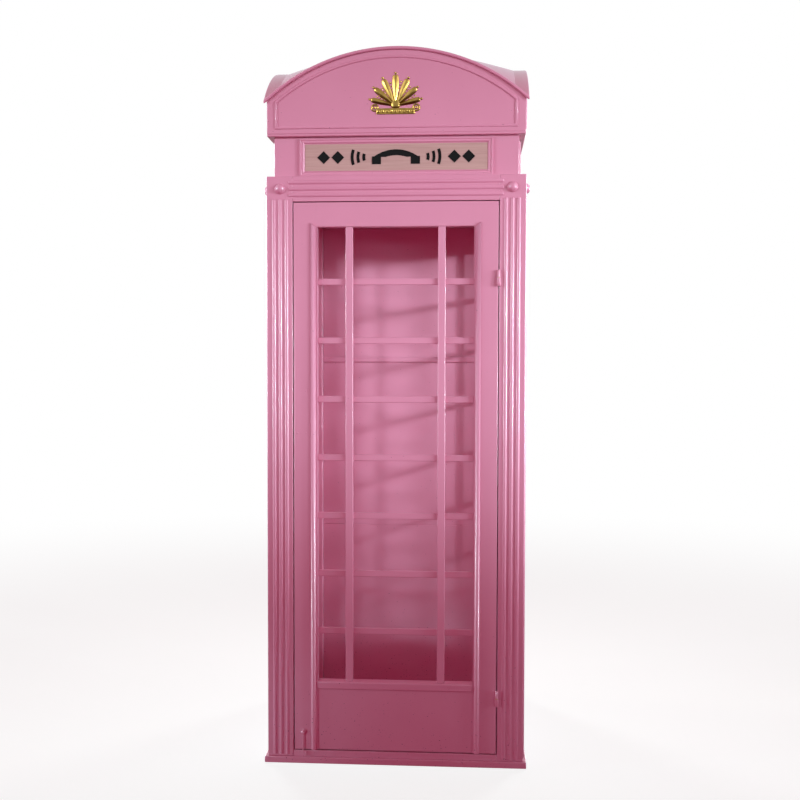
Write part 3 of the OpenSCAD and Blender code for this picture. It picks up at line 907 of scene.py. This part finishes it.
def leaf(reach, wide):  # keeled, round-ended leaf from the origin upwards, narrow at its foot
    bm = bmesh.new()
    bmesh.ops.create_uvsphere(bm, u_segments=24, v_segments=20, radius=1)
    footWide, sideDrop = emblem["leafFootWide"], emblem["leafSideDrop"]
    for vert in bm.verts:
        along = (vert.co.z + 1) / 2
        fuller = max(0.05, 1 - vert.co.z ** 2) ** -0.22    # keeps the ends blunt
        keel = 1 - sideDrop * min(1, abs(vert.co.x) * fuller * 1.3)
        vert.co.x *= fuller * (footWide + (1 - footWide) * along)
        vert.co.y *= fuller * keel
    bmesh.ops.scale(bm, verts=bm.verts, vec=(wide, emblem["relief"], reach / 2))
    moved(bm, (0, 0, reach / 2))
    cutAway(bm, (0, emblem["sunk"], 0), (0, 1, 0))
    return smoothBy(bm, 60)


def emblemFan():  # leaves with a seed at each tip and more seeds in the gaps
    whole = bmesh.new()
    middle = (emblem["leaves"] - 1) // 2
    centre = (0, 0, emblem["hub"])
    for i in range(-middle, middle + 1):
        reach = emblem["reach"] - abs(i) * emblem["shorter"]
        turn = (i * emblem["fan"], "Y")
        blade = leaf(reach - emblem["leafShort"], emblem["leafWide"] - abs(i) * emblem["narrower"])
        pour(whole, moved(moved(blade, (0, 0, emblem["leafFoot"])), centre, turn))
        pour(whole, moved(pearl(emblem["tipRadius"], 0, reach - emblem["tipBelow"]), centre, turn))
        for step in range(emblem["gapSeeds"] if i < middle else 0):
            seed = pearl(emblem["seedRadius"] - step * emblem["seedLess"], 0,
                         reach * emblem["seedReach"] - step * emblem["seedPitch"])
            pour(whole, moved(seed, centre, ((i + 0.5) * emblem["fan"], "Y")))
    pour(whole, pearl(emblem["hubRadius"], 0, emblem["hub"] + emblem["hubUp"], emblem["hubSquash"]))
    return whole


def emblemBand():  # band with a row of beads
    half, tall, relief = emblem["bandHalf"], emblem["bandTall"], emblem["bandRelief"]
    whole = softBlock((-half, -relief, 0), (half, emblem["sunk"], tall), emblem["bandEdge"], 3)
    pitch = (half - emblem["beadInset"]) * 2 / (emblem["beads"] - 1)
    for i in range(emblem["beads"]):
        x = (i - (emblem["beads"] - 1) / 2) * pitch
        bead = pearl(emblem["beadRadius"], x, tall / 2, emblem["beadSquash"])
        pour(whole, moved(bead, (0, sunk - relief, 0)))
    return whole


def emblemScroll(side):  # ring with a pearl in it, at one end of the band
    x, z = side * (emblem["bandHalf"] + emblem["scrollOut"]), emblem["bandTall"] + emblem["scrollUp"]
    whole = moved(ring(emblem["scrollRadius"], emblem["scrollWire"], 28, 10), (x, 0, z), (90, "X"))
    cutAway(whole, (0, emblem["sunk"], 0), (0, 1, 0))
    pour(whole, pearl(emblem["beadRadius"], x, z))
    return whole


def giltEmblem():  # fan of leaves over a beaded band between two scrolls
    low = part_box("gilt_emblems")[0]
    whole = emblemFan()
    for part in (emblemBand(), emblemScroll(-1), emblemScroll(1)):
        pour(whole, part)
    bmesh.ops.scale(whole, verts=whole.verts, vec=(emblem["growth"], 1, emblem["growth"]))
    return moved(whole, (0, -frontHalf, low.z))


finishPiece("gilt_emblems", onSides((0, 90, 270), giltEmblem))
print("emblems made")


floorLook = {
    "across": 80.0,
    "near": [0.34, 0.38, 0.37, 1],   # what the lamps and the booth's shadow fall on
    "glow": [0.77, 0.84, 0.82, 1],   # paleness of its own there, which evens out the lamps' tint
    "fadeFrom": 1.2,
    "fadeTo": 6.0,                   # past here it is as white as what stands behind
}


def makeFloor():  # pale floor that is seen, but throws neither light nor colour back up
    bm = bmesh.new()
    bmesh.ops.create_grid(bm, x_segments=1, y_segments=1, size=floorLook["across"] / 2)
    mesh = bpy.data.meshes.new("floor")
    bm.to_mesh(mesh)
    bm.free()
    floor = bpy.data.objects.new("floor", mesh)
    scene.collection.objects.link(floor)
    material, shader, wire = newMaterial("paleFloor", {
        "Roughness": 0.9, "Specular IOR Level": 0.0, "Emission Strength": 1.0})
    distance = wire.node("ShaderNodeVectorMath", {"operation": "LENGTH"}, {0: placeOn(wire)}, "Value")
    far = distance.share(floorLook["fadeFrom"], floorLook["fadeTo"], shape="SMOOTHSTEP")
    feed(shader, "Base Color", far.blend(floorLook["near"], [0, 0, 0, 1]))
    feed(shader, "Emission Color", far.blend(floorLook["glow"], [1, 1, 1, 1]))
    mesh.materials.append(material)
    floor.visible_diffuse = False
    floor.visible_glossy = False


coolWhite = (0.73, 0.99, 1.02)
coolGreen = (0.45, 1.0, 0.95)    # evens out the room's red near the floor
lamps = {  # place, aim, radius, cone in degrees, power in watts, colour
    "rightWindow": ((4.3, -4.1, 2.15), (0, 0, 1.4), 0.12, 22, 530, coolWhite),
    "rightSoftbox": ((5.2, -2.9, 2.35), (0, 0, 1.75), 0.4, 28, 800, coolWhite),
    "rightLow": ((5.6, -1.6, 1.2), (0, 0, 0.95), 0.4, 20, 940, coolWhite),
    "leftSoftbox": ((-4.0, -4.0, 2.5), (0, 0, 1.8), 0.5, 30, 450, coolWhite),
    "leftSky": ((-5.2, -2.9, 2.5), (0, 0, 1.7), 0.4, 28, 280, coolWhite),
    "leftLow": ((-5.6, -1.6, 1.2), (0, 0, 0.7), 0.4, 22, 480, coolWhite),
    "leftFoot": ((-3.5, -3.5, 0.5), (-0.5, -0.4, 0.12), 0.3, 10, 450, coolGreen),
    "rightFoot": ((2.6, -4.4, 0.5), (0.5, -0.4, 0.12), 0.3, 10, 230, coolGreen),
    "overhead": ((-2.2, 0.6, 5.6), (0, 0, 2.2), 0.5, 22, 160, (1.0, 0.9, 0.78)),
    "rearLeft": ((-3.0, 5.0, 2.5), (0, 0, 1.3), 0.8, 50, 700, (1, 1, 1)),
    "rearRight": ((3.0, 5.0, 2.5), (0, 0, 1.3), 0.8, 50, 700, (1, 1, 1)),
}


def makeLamp(name, place, aim, radius, cone, power, colour):
    lamp = bpy.data.lights.new(name, "SPOT")
    lamp.energy = power
    lamp.color = colour
    lamp.shadow_soft_size = radius
    lamp.spot_size = math.radians(cone)
    lamp.spot_blend = 1
    thing = bpy.data.objects.new(name, lamp)
    scene.collection.objects.link(thing)
    thing.location = place
    thing.rotation_euler = (Vector(aim) - Vector(place)).to_track_quat("-Z", "Y").to_euler()


surround = {
    "seen": [1, 1, 1, 1],                  # behind the booth
    "lighting": [0.32, 0.006, 0.07, 1],    # the dim red room that lights its plain surfaces
    "mirroredHigh": [0.82, 0.9, 0.94, 1],  # what its gloss picks up above eye level
    "mirroredLow": [0.10, 0.02, 0.04, 1],  # and below it
    "mirroredSides": [3.5, 3.9, 4.5, 1],   # and to the left and right
    "darkBelow": -0.26,                    # steepness at which the low colour starts
    "brightAbove": -0.04,                  # and at which the high one does
    "sidesFrom": 0.15,                     # squared sideways share of a direction
    "sidesTo": 0.8,
}


def makeSurround():
    made = bpy.data.worlds.new("surround")
    made.use_nodes = True
    wire = Wire(made.node_tree)
    direction = wire.node("ShaderNodeTexCoord", {}, {}, "Generated")
    height = wire.node("ShaderNodeSeparateXYZ", {}, {0: direction}, "Z")
    across = wire.node("ShaderNodeSeparateXYZ", {}, {0: direction}, "X")
    high = height.share(surround["darkBelow"], surround["brightAbove"])
    aside = (across * across).share(surround["sidesFrom"], surround["sidesTo"])
    mirrored = high.blend(surround["mirroredLow"], surround["mirroredHigh"])
    mirrored = (aside * high).blend(mirrored, surround["mirroredSides"])
    glossy = wire.node("ShaderNodeLightPath", {}, {}, "Is Glossy Ray")
    direct = wire.node("ShaderNodeLightPath", {}, {}, "Is Camera Ray")
    colour = direct.blend(glossy.blend(surround["lighting"], mirrored), surround["seen"])
    made.node_tree.links.new(colour.socket, made.node_tree.nodes["Background"].inputs["Color"])
    scene.world = made


camera = {  # a standing viewer's place, turned a little to the left and tipped a little down
    "place": (0.2362, -4.0103, 1.2694),
    "yaw": 4.188,
    "pitch": -2.61,
    "roll": 0.063,
    "lens": 52.648,
    "shift": (0.01748, 0.01629),
}


def makeCamera():
    lens = bpy.data.cameras.new("camera")
    lens.sensor_width = 36
    lens.lens = camera["lens"]
    lens.shift_x, lens.shift_y = camera["shift"]
    thing = bpy.data.objects.new("camera", lens)
    scene.collection.objects.link(thing)
    thing.matrix_world = (
        Matrix.Translation(camera["place"])
        @ Matrix.Rotation(math.radians(camera["yaw"]), 4, "Z")
        @ Matrix.Rotation(math.radians(90 + camera["pitch"]), 4, "X")
        @ Matrix.Rotation(math.radians(camera["roll"]), 4, "Z")
    )
    scene.camera = thing


makeFloor()
for lampName, lampValues in lamps.items():
    makeLamp(lampName, *lampValues)
makeSurround()
makeCamera()
scene.view_settings.view_transform = "Standard"
print("floor, lights and camera made")
